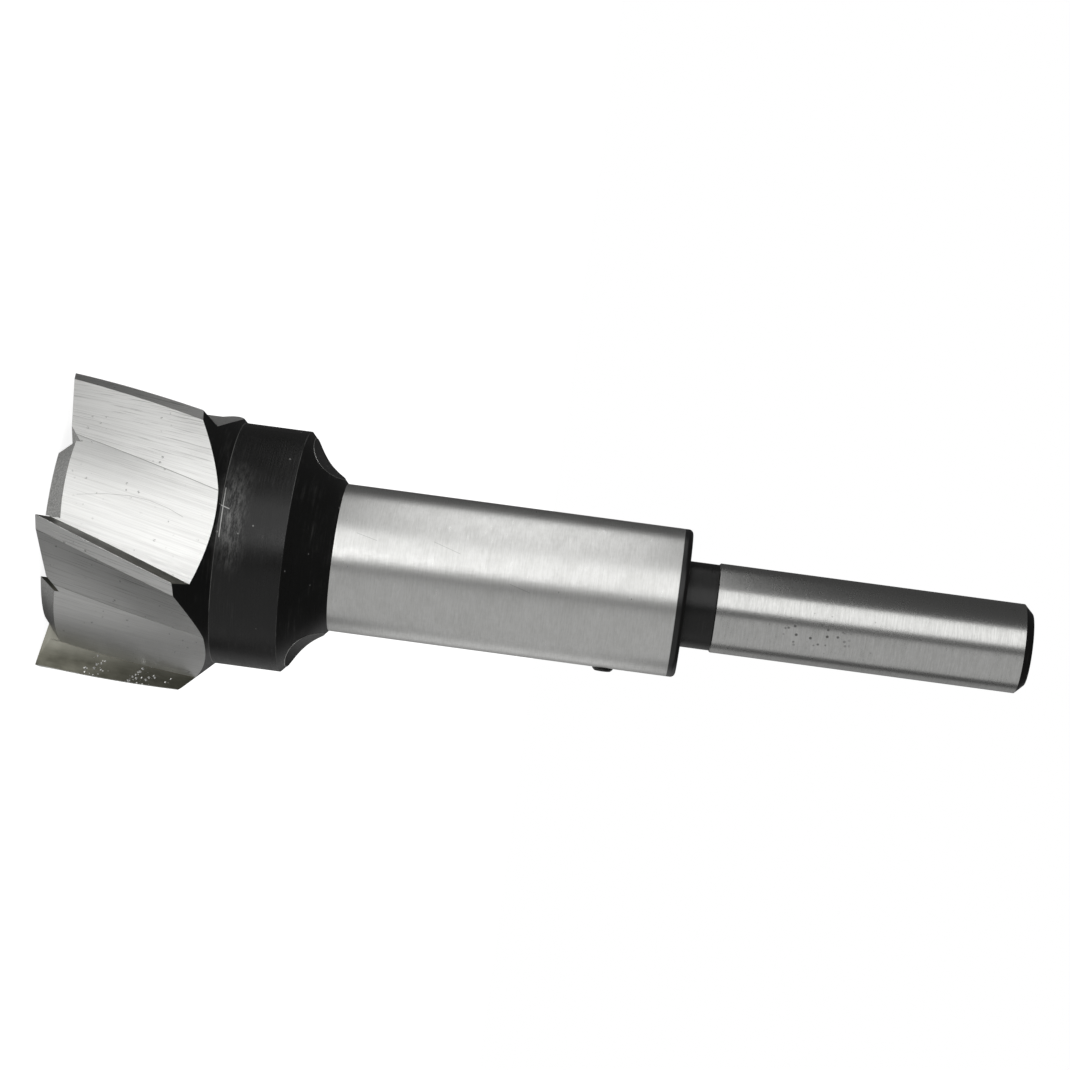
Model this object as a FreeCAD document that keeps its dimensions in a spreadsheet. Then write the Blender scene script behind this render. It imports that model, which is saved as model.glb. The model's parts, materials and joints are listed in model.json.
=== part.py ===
import FreeCAD, Part
import math
import os
import Sketcher
from FreeCAD import Placement, Rotation, Vector

# Plug cutter with five helical teeth round an open cup.
# It stands on its tooth tips at z = 0 with the shank straight up, in millimetres.
# Azimuths are in degrees, anticlockwise as seen from the shank end, from +X.
# The tool turns clockwise as seen from the shank end, so each tooth trails
# behind its leading edge towards larger azimuths.

# Driving dimensions: alias, value, meaning
SIZES = [
    ("tooth_count", 5, "cutting teeth round the cup"),
    ("first_tip_azimuth", 197.2, "azimuth of one tooth's leading tip"),
    ("tip_radius", 22.2, "radius of the leading edges, half the groove's outside"),
    ("grinding_stock", 0.1, "left on the turned blank and ground off the teeth"),
    ("tooth_length", 19.9, "tips to the start of the rear cone"),
    ("helix_rate", 0.92, "lag of the leading edge, degrees for each mm"),
    ("land_angle", 4.8, "width of the primary land behind the edge, degrees"),
    ("land_fall", 0.3, "fall of the primary land at its back, on the radius"),
    ("crease_angle", 28.0, "place of the crease between the two ground facets"),
    ("crease_depth_front", 3.9, "crease below the leading edge, at the tips"),
    ("crease_depth_rear", 3.95, "crease below the leading edge, at the rear station"),
    ("heel_angle", 50.0, "middle of the second facet, degrees behind the edge"),
    ("heel_depth_front", 4.45, "depth there at the tips"),
    ("heel_depth_rear", 3.9, "depth there at the rear station"),
    ("gullet_depth_front", 4.3, "depth of the rake face at the tips"),
    ("gullet_depth_rear", 2.1, "depth of the rake face at the rear station"),
    ("rake_lead", 0.11, "how far the rake face's foot lies ahead, for each mm of depth"),
    ("rear_station", 22.0, "distance from the tips at which the rear depths hold"),
    ("inward_slope", 0.13, "fall of the tooth's front towards the cup"),
    ("relief_slope", 0.11, "fall of the tooth's front behind its leading edge"),
    ("notch_angle", 34.2, "place of the notch between outer and inner edge"),
    ("notch_start", 6.5, "offset behind the leading edge where the notch begins"),
    ("notch_slope", 43.0, "slope of the notch's long flank, degrees"),
    ("inner_edge_setback", 0.1, "inner scoring edge behind the tips"),
    ("inner_bevel", 40.5, "slope of the inner edge's outward bevel, degrees"),
    ("cup_radius", 15.0, "radius of the cup, half the plug"),
    ("cup_depth", 33.0, "tips to the cup's floor"),
    ("cup_floor_radius", 6.0, "flat part of the cup's floor"),
    ("cup_wall_depth", 29.5, "length of the cup's straight wall"),
    ("rear_cone_height", 4.6, "fall of the rear cone from the teeth to the body"),
    ("rear_cone_length", 4.8, "length of the rear cone"),
    ("shoulder_start", 34.3, "tips to the shoulder cone"),
    ("shoulder_end", 40.5, "tips to the start of the stem"),
    ("scallop_radius", 6.7, "radius of the two milled shoulder scallops"),
    ("scallop_station", 41.7, "tips to the scallops' centre line"),
    ("scallop_clearance", 0.35, "scallop's closest approach to the stem"),
    ("scallop_azimuth", 184.0, "azimuth of the first scallop"),
    ("scallop_spread", 172.0, "from the first scallop to the second, degrees"),
    ("stem_radius", 10.78, "ground stem"),
    ("head_length", 91.1, "tips to the stem's rear face"),
    ("stem_edge_round", 0.7, "round on the stem's rear edge"),
    ("spigot_radius", 6.25, "part of the shank that sits in the stem, and its neck"),
    ("spigot_clearance", 0.01, "between spigot and bore, on the radius"),
    ("socket_depth", 25.0, "depth of the bore in the stem"),
    ("drill_point_angle", 59.0, "half the angle of the drilled bottom, degrees"),
    ("mouth_chamfer", 0.45, "chamfer at the bore's mouth"),
    ("spigot_end_gap", 0.4, "between the spigot's end and the bore's shoulder"),
    ("spigot_end_chamfer", 0.6, "chamfer on the hidden end of the spigot"),
    ("neck_length", 4.4, "bare neck between the stem and the shank"),
    ("shank_radius", 6.5, "chuck shank"),
    ("shank_length", 45.6, "chuck shank with its end chamfer"),
    ("shank_end_chamfer", 1.25, "chamfer on the shank's end"),
    ("shank_front_chamfer", 0.15, "broken edge at the front of the shank"),
    ("screw_azimuth", 5.0, "azimuth of the set screw"),
    ("screw_setback", 10.5, "stem's rear face to the set screw's axis"),
    ("screw_radius", 1.5, "set screw, thread left off"),
    ("screw_clearance", 0.01, "between the screw and its hole, on the radius"),
    ("screw_length", 5.0, "length of the set screw"),
    ("screw_edge_chamfer", 0.3, "chamfer on both ends of the screw"),
    ("hex_across_flats", 1.5, "socket in the screw's outer end"),
    ("hex_depth", 1.6, "depth of that socket"),
]

# Sizes that follow from others
BODY_RADIUS = "(sizes.tip_radius - sizes.rear_cone_height)"
SCREW_STATION = "(sizes.head_length - sizes.screw_setback)"

# The gullet starts before the tips and runs out past the rear cone.
GULLET_START = "-1"
GULLET_END = "(sizes.tooth_length + sizes.rear_cone_length + 2.5)"

# Places of the gullet's cross-sections, as shares of its run
GULLET_SHARES = [0.0, 0.25, 0.5, 0.75, 1.0]

doc = FreeCAD.newDocument("plug_cutter")
sheet = doc.addObject("Spreadsheet::Sheet", "sizes")
for row, (alias, value, meaning) in enumerate(SIZES, start=1):
    sheet.set(f"A{row}", alias)
    sheet.set(f"B{row}", str(value))
    sheet.set(f"C{row}", meaning)
    sheet.setAlias(f"B{row}", alias)
doc.recompute()


def new_body(label):
    """Make an empty body whose label names the piece."""
    body = doc.addObject("PartDesign::Body", label)
    body.Label = label
    return body


def origin_part(body, role):
    """Find one of the body's own origin planes or axes."""
    for item in body.Origin.OriginFeatures:
        if item.Role == role:
            return item
    raise RuntimeError(f"{body.Label} has no {role}")


def new_sketch(body, name, plane):
    """Attach an empty sketch to one of the body's origin planes."""
    sketch = body.newObject("Sketcher::SketchObject", name)
    sketch.AttachmentSupport = [(origin_part(body, plane), "")]
    sketch.MapMode = "FlatFace"
    return sketch


def turn_sketch(sketch, axis, angle):
    """Turn a sketch about a line through its own origin."""
    sketch.AttachmentOffset = Placement(Vector(0, 0, 0), Rotation(Vector(*axis), 1))
    sketch.setExpression("AttachmentOffset.Rotation.Angle", angle)


def polar(radius, angle):
    """Corner at a radius and an angle, both expressions of the sheet."""
    return (f"({radius}) * cos({angle})", f"({radius}) * sin({angle})")


def tie_point(sketch, geometry, end, place):
    """Hold a point of the sketch at a place given by two expressions."""
    for kind, value in zip(("DistanceX", "DistanceY"), place):
        now = float(sketch.evalExpression(value))
        constraint = Sketcher.Constraint(kind, -1, 1, geometry, end, now)
        index = sketch.addConstraint(constraint)
        sketch.setExpression(f"Constraints[{index}]", value)


def draw_outline(sketch, corners, bulges=None):
    """Draw a closed outline whose corners follow the sheet.

    Its edges are straight, but the edge after a corner that bulges names is
    an arc through the place given there.
    """
    bulges = bulges or {}
    places = [Vector(*(float(sketch.evalExpression(value)) for value in corner), 0)
              for corner in corners]
    count = len(corners)
    arc_ends = {}
    for i in range(count):
        start, finish = places[i], places[(i + 1) % count]
        if i in bulges:
            middle = Vector(*(float(sketch.evalExpression(value)) for value in bulges[i]), 0)
            sketch.addGeometry(Part.Arc(start, middle, finish), False)
            begins = sketch.getPoint(i, 1).distanceToPoint(start) < 0.001
            arc_ends[i] = (1, 2) if begins else (2, 1)
        else:
            sketch.addGeometry(Part.LineSegment(start, finish), False)
            arc_ends[i] = (1, 2)
    for i in range(count):
        following = (i + 1) % count
        sketch.addConstraint(Sketcher.Constraint(
            "Coincident", i, arc_ends[i][1], following, arc_ends[following][0]))
        tie_point(sketch, i, arc_ends[i][0], corners[i])
    for i, place in bulges.items():
        middle = Vector(*(float(sketch.evalExpression(value)) for value in place), 0)
        marker = sketch.addGeometry(Part.Point(middle), True)
        sketch.addConstraint(Sketcher.Constraint("PointOnObject", marker, 1, i))
        tie_point(sketch, marker, 1, place)
    doc.recompute()


def draw_circle(sketch, across, up, radius):
    """Draw a circle whose centre and radius follow the sheet."""
    centre = Vector(float(sketch.evalExpression(across)), float(sketch.evalExpression(up)), 0)
    size = float(sketch.evalExpression(radius))
    sketch.addGeometry(Part.Circle(centre, Vector(0, 0, 1), size), False)
    tie_point(sketch, 0, 3, (across, up))
    index = sketch.addConstraint(Sketcher.Constraint("Radius", 0, size))
    sketch.setExpression(f"Constraints[{index}]", radius)
    doc.recompute()


def revolve(body, name, sketch, kind="PartDesign::Revolution"):
    """Turn an outline about the tool's axis, adding or cutting."""
    feature = body.newObject(kind, name)
    feature.Profile = sketch
    feature.ReferenceAxis = (sketch, ["V_Axis"])
    feature.Angle = 360
    doc.recompute()
    return feature


def cut_towards(body, name, sketch, direction, length):
    """Cut an outline along a stated direction, whatever the sketch's own tilt."""
    pocket = body.newObject("PartDesign::Pocket", name)
    pocket.Profile = sketch
    pocket.UseCustomVector = True
    pocket.Direction = Vector(*direction)
    pocket.Length = 1
    pocket.setExpression("Length", length)
    doc.recompute()
    return pocket


def repeat_round(body, name, features, count):
    """Repeat cuts evenly round the tool's axis."""
    pattern = body.newObject("PartDesign::PolarPattern", name)
    pattern.Originals = features
    pattern.Axis = (origin_part(body, "Z_Axis"), [""])
    pattern.Angle = 360
    pattern.setExpression("Occurrences", count)
    body.Tip = pattern
    doc.recompute()
    return pattern


def check_removed(body, before, what):
    """Stop if a cut took nothing away."""
    if body.Shape.Volume > before - 0.01:
        raise RuntimeError(f"{what} removed nothing")
    return body.Shape.Volume


def turn_blank(body):
    """Turn the head's blank: teeth zone, rear cone, body, shoulder and stem."""
    sketch = new_sketch(body, "blank_outline", "XZ_Plane")
    stock = "(sizes.tip_radius + sizes.grinding_stock)"
    cone_run = "sizes.rear_cone_length / sizes.rear_cone_height"
    draw_outline(sketch, [
        ("0", "0"),
        (stock, "0"),
        (stock, f"sizes.tooth_length - sizes.grinding_stock * {cone_run}"),
        (BODY_RADIUS, "sizes.tooth_length + sizes.rear_cone_length"),
        (BODY_RADIUS, "sizes.shoulder_start"),
        ("sizes.stem_radius", "sizes.shoulder_end"),
        ("sizes.stem_radius", "sizes.head_length"),
        ("0", "sizes.head_length"),
    ])
    return revolve(body, "blank", sketch)


def bore_cup(body):
    """Bore the open cup that the finished plug fills."""
    sketch = new_sketch(body, "cup_outline", "XZ_Plane")
    draw_outline(sketch, [
        ("0", "-1"),
        ("sizes.cup_radius", "-1"),
        ("sizes.cup_radius", "sizes.cup_wall_depth"),
        ("sizes.cup_floor_radius", "sizes.cup_depth"),
        ("0", "sizes.cup_depth"),
    ])
    return revolve(body, "cup", sketch, "PartDesign::Groove")


def bore_socket(body):
    """Drill the shank's socket into the stem from the rear."""
    sketch = new_sketch(body, "socket_outline", "XZ_Plane")
    bore = "(sizes.spigot_radius + sizes.spigot_clearance)"
    floor = "sizes.head_length - sizes.socket_depth"
    mouth = f"{bore} + sizes.mouth_chamfer"
    draw_outline(sketch, [
        ("0", f"{floor} - {bore} / tan(sizes.drill_point_angle)"),
        (bore, floor),
        (bore, "sizes.head_length - sizes.mouth_chamfer"),
        (mouth, "sizes.head_length"),
        (mouth, "sizes.head_length + 1"),
        ("0", "sizes.head_length + 1"),
    ])
    return revolve(body, "socket", sketch, "PartDesign::Groove")


def gullet_section(body, index, share):
    """Draw one cross-section of the space between two teeth."""
    station = f"({GULLET_START} + {share} * ({GULLET_END} - {GULLET_START}))"
    sketch = new_sketch(body, f"gullet_section_{index}", "XY_Plane")
    turn_sketch(sketch, (0, 0, 1), f"sizes.helix_rate * {station}")
    sketch.setExpression("AttachmentOffset.Base.z", station)

    def at_depth(front, rear):
        depth = f"{front} + ({rear} - {front}) * {station} / sizes.rear_station"
        return f"sizes.tip_radius - ({depth})"

    pitch = "360 / sizes.tooth_count"
    root = at_depth("sizes.gullet_depth_front", "sizes.gullet_depth_rear")
    lead = f"180 / pi * sizes.rake_lead * (sizes.tip_radius - ({root})) / ({root})"
    land_across = "(sizes.tip_radius - sizes.land_fall) * cos(sizes.land_angle)"
    land_up = "(sizes.tip_radius - sizes.land_fall) * sin(sizes.land_angle)"
    draw_outline(sketch, [
        (f"sizes.tip_radius + 0.6 * (sizes.tip_radius - {land_across})", f"-0.6 * {land_up}"),
        (land_across, land_up),
        polar(at_depth("sizes.crease_depth_front", "sizes.crease_depth_rear"),
              "sizes.crease_angle"),
        polar(root, f"{pitch} - {lead}"),
        polar("sizes.tip_radius", pitch),
        polar("sizes.tip_radius * 1.15", pitch),
        polar("sizes.tip_radius * 1.3", f"{pitch} / 2"),
    ], {2: polar(at_depth("sizes.heel_depth_front", "sizes.heel_depth_rear"),
                 "sizes.heel_angle")})
    return sketch


def mill_gullet(body):
    """Sweep the gullet along the helix, leaving land, two facets and rake face."""
    sections = [gullet_section(body, index, share)
                for index, share in enumerate(GULLET_SHARES)]
    loft = body.newObject("PartDesign::SubtractiveLoft", "gullet")
    loft.Profile = sections[0]
    loft.Sections = sections[1:]
    loft.Ruled = False
    doc.recompute()
    return loft


def grind_front(body):
    """Grind the tooth's front: it falls inwards and behind the leading edge."""
    sketch = new_sketch(body, "front_outline", "XY_Plane")
    sketch.AttachmentOffset = Placement(Vector(1, 0, 0), Rotation(Vector(1, 1, 0), 1))
    sketch.setExpression("AttachmentOffset.Base.x", "sizes.tip_radius")
    sketch.setExpression("AttachmentOffset.Rotation.Axis.x", "sizes.relief_slope")
    sketch.setExpression("AttachmentOffset.Rotation.Axis.y", "sizes.inward_slope")
    sketch.setExpression("AttachmentOffset.Rotation.Angle",
                         "atan(sqrt(sizes.relief_slope ^ 2 + sizes.inward_slope ^ 2))")
    reach = "sizes.tip_radius * 1.3"
    edge_across, edge_up = polar(reach, "-0.5")
    notch_across, notch_up = polar(reach, "sizes.notch_angle")
    draw_outline(sketch, [
        ("-sizes.tip_radius", "0"),
        (f"{edge_across} - sizes.tip_radius", edge_up),
        (f"{notch_across} - sizes.tip_radius", notch_up),
    ])
    return cut_towards(body, "front", sketch, (0, 0, -1), "sizes.tip_radius")


def grind_notch(body):
    """Grind the notch's long flank, which runs out at the inner edge's corner."""
    sketch = new_sketch(body, "notch_outline", "XY_Plane")
    sketch.AttachmentOffset = Placement(Vector(0, 1, 0), Rotation(Vector(1, 0, 0), 1))
    sketch.setExpression("AttachmentOffset.Base.y", "sizes.notch_start")
    sketch.setExpression("AttachmentOffset.Rotation.Angle", "sizes.notch_slope")
    lead = "0.4"
    reach = "sizes.tip_radius * 1.15"
    steep = "cos(sizes.notch_slope)"
    draw_outline(sketch, [
        (f"(sizes.notch_start - {lead}) / tan(sizes.notch_angle)", f"-{lead} / {steep}"),
        (reach, f"-{lead} / {steep}"),
        (reach, f"({reach} * tan(sizes.notch_angle) - sizes.notch_start) / {steep}"),
    ])
    return cut_towards(body, "notch", sketch, (0, 0, -1), "sizes.tip_radius")


def grind_inner_edge(body):
    """Bevel the ring outwards behind the notch, leaving the inner scoring edge."""
    sketch = new_sketch(body, "inner_edge_outline", "XZ_Plane")
    turn_sketch(sketch, (0, 1, 0), "sizes.notch_angle - 0.3")
    reach = "sizes.tip_radius * 1.1"
    draw_outline(sketch, [
        ("sizes.cup_radius - 1", "-1"),
        (reach, "-1"),
        (reach, f"sizes.inner_edge_setback"
                f" + ({reach} - sizes.cup_radius) * tan(sizes.inner_bevel)"),
        ("sizes.cup_radius - 1", "sizes.inner_edge_setback - tan(sizes.inner_bevel)"),
    ])
    groove = revolve(body, "inner_edge", sketch, "PartDesign::Groove")
    groove.setExpression("Angle", "360 / sizes.tooth_count - sizes.notch_angle + 0.2")
    doc.recompute()
    return groove


def mill_scallops(body):
    """Mill the two scallops across the shoulder, almost opposite each other."""
    sketch = new_sketch(body, "scallop_outline", "XZ_Plane")
    turn_sketch(sketch, (0, 1, 0), "sizes.scallop_azimuth - sizes.first_tip_azimuth")
    centre = "sizes.stem_radius + sizes.scallop_clearance + sizes.scallop_radius"
    draw_circle(sketch, centre, "sizes.scallop_station", "sizes.scallop_radius")
    pocket = body.newObject("PartDesign::Pocket", "scallop")
    pocket.Profile = sketch
    pocket.Midplane = True
    pocket.setExpression("Length", f"4 * {BODY_RADIUS}")
    doc.recompute()
    pattern = repeat_round(body, "scallops", [pocket], "2")
    pattern.setExpression("Angle", "sizes.scallop_spread")
    doc.recompute()
    return pattern


def drill_screw_hole(body):
    """Drill the set screw's hole through one side of the stem."""
    sketch = new_sketch(body, "screw_hole_outline", "YZ_Plane")
    turn_sketch(sketch, (0, 1, 0), "sizes.screw_azimuth - sizes.first_tip_azimuth")
    draw_circle(sketch, "0", SCREW_STATION,
                "sizes.screw_radius + sizes.screw_clearance")
    pocket = body.newObject("PartDesign::Pocket", "screw_hole")
    pocket.Profile = sketch
    pocket.Reversed = True
    pocket.setExpression("Length", "sizes.stem_radius + 1")
    doc.recompute()
    return pocket


def round_stem_edge(body):
    """Round the stem's rear edge."""
    rear = sheet.head_length
    turned = body.Tip
    for number, edge in enumerate(turned.Shape.Edges, start=1):
        curve = edge.Curve
        is_circle = isinstance(curve, Part.Circle)
        if is_circle and abs(curve.Radius - sheet.stem_radius) < 0.001:
            if abs(curve.Center.z - rear) < 0.001:
                fillet = body.newObject("PartDesign::Fillet", "stem_edge")
                fillet.Base = (turned, [f"Edge{number}"])
                fillet.setExpression("Radius", "sizes.stem_edge_round")
                body.Tip = fillet
                doc.recompute()
                return fillet
    raise RuntimeError("the stem's rear edge was not found")


def make_cutter_head():
    """Head, teeth, shoulder and stem: one piece of steel, turned and then milled."""
    body = new_body("cutter_head")
    turn_blank(body)
    volume = body.Shape.Volume
    bore_cup(body)
    volume = check_removed(body, volume, "the cup")
    bore_socket(body)
    volume = check_removed(body, volume, "the socket")
    round_stem_edge(body)
    volume = check_removed(body, volume, "the stem's round")
    cuts = []
    for grind in (mill_gullet, grind_front, grind_notch, grind_inner_edge):
        cuts.append(grind(body))
        volume = check_removed(body, volume, grind.__name__)
    repeat_round(body, "teeth", cuts, "sizes.tooth_count")
    volume = check_removed(body, volume, "the teeth")
    mill_scallops(body)
    volume = check_removed(body, volume, "the scallops")
    drill_screw_hole(body)
    check_removed(body, volume, "the screw hole")
    body.Placement = Placement(Vector(0, 0, 0), Rotation(Vector(0, 0, 1), 1))
    body.setExpression("Placement.Rotation.Angle", "sizes.first_tip_azimuth")
    return body


def make_shank():
    """Chuck shank with its neck and the spigot that sits in the stem."""
    body = new_body("shank")
    sketch = new_sketch(body, "shank_outline", "XZ_Plane")
    start = "(sizes.head_length - sizes.socket_depth + sizes.spigot_end_gap)"
    front = "(sizes.head_length + sizes.neck_length)"
    end = f"({front} + sizes.shank_length)"
    draw_outline(sketch, [
        ("0", start),
        ("sizes.spigot_radius - sizes.spigot_end_chamfer", start),
        ("sizes.spigot_radius", f"{start} + sizes.spigot_end_chamfer"),
        ("sizes.spigot_radius", front),
        ("sizes.shank_radius - sizes.shank_front_chamfer", front),
        ("sizes.shank_radius", f"{front} + sizes.shank_front_chamfer"),
        ("sizes.shank_radius", f"{end} - sizes.shank_end_chamfer"),
        ("sizes.shank_radius - sizes.shank_end_chamfer", end),
        ("0", end),
    ])
    revolve(body, "turned_shank", sketch)
    return body


def make_set_screw():
    """Grub screw that bears on the spigot and holds the shank in the stem."""
    body = new_body("set_screw")
    sketch = new_sketch(body, "screw_outline", "XZ_Plane")
    chamfered = "sizes.screw_radius - sizes.screw_edge_chamfer"
    draw_outline(sketch, [
        ("0", "0"),
        (chamfered, "0"),
        ("sizes.screw_radius", "sizes.screw_edge_chamfer"),
        ("sizes.screw_radius", "sizes.screw_length - sizes.screw_edge_chamfer"),
        (chamfered, "sizes.screw_length"),
        ("0", "sizes.screw_length"),
    ])
    revolve(body, "turned_screw", sketch)
    hexagon = new_sketch(body, "hex_outline", "XY_Plane")
    hexagon.AttachmentOffset = Placement(Vector(0, 0, 1), Rotation())
    hexagon.setExpression("AttachmentOffset.Base.z", "sizes.screw_length")
    corner = "sizes.hex_across_flats / 2 / cos(30)"
    draw_outline(hexagon, [polar(corner, str(60 * side)) for side in range(6)])
    volume = body.Shape.Volume
    pocket = body.newObject("PartDesign::Pocket", "hex_socket")
    pocket.Profile = hexagon
    pocket.setExpression("Length", "sizes.hex_depth")
    doc.recompute()
    check_removed(body, volume, "the hex socket")
    azimuth = math.radians(sheet.screw_azimuth)
    radial = Vector(math.cos(azimuth), math.sin(azimuth), 0)
    seat = radial * (sheet.spigot_radius + sheet.spigot_clearance)
    body.Placement = Placement(seat, Rotation(Vector(0, 0, 1), radial))
    body.setExpression("Placement.Base.z", SCREW_STATION)
    return body


pieces = [make_cutter_head(), make_shank(), make_set_screw()]
doc.recompute()

for item in doc.Objects:
    if "Invalid" in item.State or "Error" in item.State:
        raise RuntimeError(f"{item.Name} did not build")
for piece in pieces:
    if piece.Shape.isNull() or not piece.Shape.isValid() or len(piece.Shape.Solids) != 1:
        raise RuntimeError(f"{piece.Label} is not one valid solid")

os.makedirs("parts", exist_ok=True)
for piece in pieces:
    piece.Shape.exportStep(f"parts/{piece.Label}.step")
    print(piece.Label, round(piece.Shape.Volume, 1), piece.Shape.BoundBox)
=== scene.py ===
# %% [markdown]
# # A plug cutter in ground steel and black oxide
#
# This lesson dresses a plug cutter: a steel tool that cuts round wooden
# plugs. The frame already holds its three real pieces at their real size.
# Here each surface gets the finish that its making leaves on it: ground
# teeth, a black turned body, a ground stem and a ground chuck shank.

# %% Load the frame
import json
import math

import bpy
from mathutils import Matrix, Vector

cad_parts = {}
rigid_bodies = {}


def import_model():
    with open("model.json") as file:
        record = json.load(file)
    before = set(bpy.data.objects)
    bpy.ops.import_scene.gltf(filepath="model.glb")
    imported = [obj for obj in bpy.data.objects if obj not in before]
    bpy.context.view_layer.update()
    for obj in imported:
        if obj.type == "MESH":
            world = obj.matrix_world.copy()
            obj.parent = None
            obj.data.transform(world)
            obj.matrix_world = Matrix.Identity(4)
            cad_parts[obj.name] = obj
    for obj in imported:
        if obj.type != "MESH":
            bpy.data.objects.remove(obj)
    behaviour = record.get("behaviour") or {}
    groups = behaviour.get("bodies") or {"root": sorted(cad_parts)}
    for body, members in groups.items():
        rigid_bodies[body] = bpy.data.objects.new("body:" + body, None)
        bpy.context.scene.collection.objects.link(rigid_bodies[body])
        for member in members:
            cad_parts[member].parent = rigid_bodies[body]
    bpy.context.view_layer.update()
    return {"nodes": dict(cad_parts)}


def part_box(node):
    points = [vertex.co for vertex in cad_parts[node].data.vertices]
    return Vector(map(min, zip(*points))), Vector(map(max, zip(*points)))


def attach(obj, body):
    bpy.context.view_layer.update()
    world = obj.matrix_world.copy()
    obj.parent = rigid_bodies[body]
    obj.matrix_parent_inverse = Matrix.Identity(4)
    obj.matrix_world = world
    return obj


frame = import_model()
head = frame["nodes"]["cutter_head"]
shank = frame["nodes"]["shank"]
set_screw = frame["nodes"]["set_screw"]

# %% [markdown]
# ## Where the finishes change
#
# The finishes change at turned steps of the tool, so a few places along its
# axis are enough to find them. The stem's rear face and the shank's end are
# read from the frame, and the rest are the tool's own sizes, in metres. A
# place along the axis is called a station, counted from the tooth tips.

# %% Places along the tool
MM = 0.001
REAR_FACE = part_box("cutter_head")[1].z
SHANK_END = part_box("shank")[1].z
TIP_RADIUS = 22.2 * MM
TOOTH_END = 19.9 * MM
CONE_LENGTH = 4.8 * MM
BODY_RADIUS = 17.6 * MM
BODY_START = TOOTH_END + CONE_LENGTH
CONE_SLOPE = (TIP_RADIUS - BODY_RADIUS) / CONE_LENGTH
SHOULDER_START = 34.3 * MM
STEM_START = 40.5 * MM
STEM_RADIUS = 10.78 * MM
CUP_RADIUS = 15.0 * MM
BLACK_RING = REAR_FACE - 1.25 * MM
SHANK_START = REAR_FACE + 4.4 * MM
SHANK_CHAMFER = SHANK_END - 1.25 * MM
SHANK_RADIUS = 6.5 * MM
print("the stem ends at", round(REAR_FACE, 4), "and the shank at", round(SHANK_END, 4))

# %% [markdown]
# ## The teeth's own angle
#
# The five teeth wind slowly round the tool. Subtracting that winding from
# the angle round the axis gives each point its place behind its own leading
# edge, whatever the tooth. Marks that follow the teeth use that angle.

# %% Winding of the teeth
FULL_TURN = 2 * math.pi
TEETH_COUNT = 5
PITCH = FULL_TURN / TEETH_COUNT
WINDING = math.radians(0.92) / MM
FIRST_TIP = math.radians(197.2)
LAND_ANGLE = math.radians(4.8)
CREASE_ANGLE = math.radians(28.0)
print("an edge winds", round(math.degrees(WINDING * TOOTH_END), 1), "degrees from tip to rear")

# %% [markdown]
# ## Helpers for node trees
#
# Every finish is a small tree of nodes. Adding a node, linking it and
# setting its values could be written out each time, but one helper that does
# all three lets each finish read as a list of steps.


# %% Add a node
def fill(tree, node, inputs):
    """Link or set a node's inputs, which are given by name or number."""
    for key, value in inputs.items():
        if isinstance(value, bpy.types.NodeSocket):
            tree.links.new(value, node.inputs[key])
        else:
            node.inputs[key].default_value = value


def add(tree, kind, inputs=None, **settings):
    """Add a node, choose its settings and fill its inputs."""
    node = tree.nodes.new(kind)
    for key, value in settings.items():
        setattr(node, key, value)
    fill(tree, node, inputs or {})
    return node


def calculate(tree, operation, first, second=0.0):
    """One sum, product or function of two values."""
    return add(tree, "ShaderNodeMath", {0: first, 1: second}, operation=operation).outputs[0]


def spread(tree, value, low, high, out_low=0.0, out_high=1.0):
    """Map a value from one range to another, without going past its ends."""
    return add(tree, "ShaderNodeMapRange", {0: value, 1: low, 2: high, 3: out_low,
                                            4: out_high}).outputs[0]


print("node helpers are ready")


# %% Join masks
def both(tree, first, second):
    """A mask that is on only where both are on; a number makes it weaker or stronger."""
    return calculate(tree, "MULTIPLY", first, second)


def either(tree, *masks):
    """A mask that is on where any of the masks is on."""
    result = masks[0]
    for mask in masks[1:]:
        result = calculate(tree, "MAXIMUM", result, mask)
    return result


def mixture(tree, *parts):
    """The sum of values times their shares, from (value, share) pairs."""
    total = calculate(tree, "MULTIPLY", *parts[0])
    for value, share in parts[1:]:
        total = calculate(tree, "ADD", total, calculate(tree, "MULTIPLY", value, share))
    return total


print("masks can be joined")


# %% Mix colours and make noise
def blend_colours(tree, share, first, second):
    """Mix two colours by a share from 0 to 1."""
    return add(tree, "ShaderNodeMix", {0: share, 6: first, 7: second},
               data_type="RGBA").outputs[2]


def noise(tree, vector, scale, detail=2.0, roughness=0.5):
    """A soft random value that follows a position; the scale is in marks a metre."""
    return add(tree, "ShaderNodeTexNoise", {"Vector": vector, "Scale": scale, "Detail": detail,
                                            "Roughness": roughness}).outputs[0]


def stretched(tree, vector, factors):
    """Stretch a position, so that marks on it run long in one direction."""
    return add(tree, "ShaderNodeVectorMath", {0: vector, 1: factors},
               operation="MULTIPLY").outputs[0]


print("texture helpers are ready")

# %% [markdown]
# ## Reading a place on the steel
#
# A grinding wheel or a lathe tool leaves marks in the direction of its cut.
# On the stem and the body they run round the tool, and on the teeth they run
# along the edge. The same noise gives both, if the position is first bent
# to the direction of the cut. All positions start from Object coordinates,
# which stay with the steel.


# %% Positions round the tool
def object_place(tree):
    """Position on the piece, and its three parts."""
    place = add(tree, "ShaderNodeTexCoord").outputs["Object"]
    return place, add(tree, "ShaderNodeSeparateXYZ", {0: place}).outputs


def azimuth(tree, axes):
    """Angle round the tool's axis."""
    return calculate(tree, "ARCTAN2", axes[1], axes[0])


def round_place(tree, radius, squeeze):
    """Position for marks that run round the tool, the arc round it and the station."""
    place, axes = object_place(tree)
    arc = calculate(tree, "MULTIPLY", azimuth(tree, axes), radius)
    return stretched(tree, place, (squeeze, squeeze, 1)), arc, axes[2]


print("marks can run round the tool")


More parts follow.
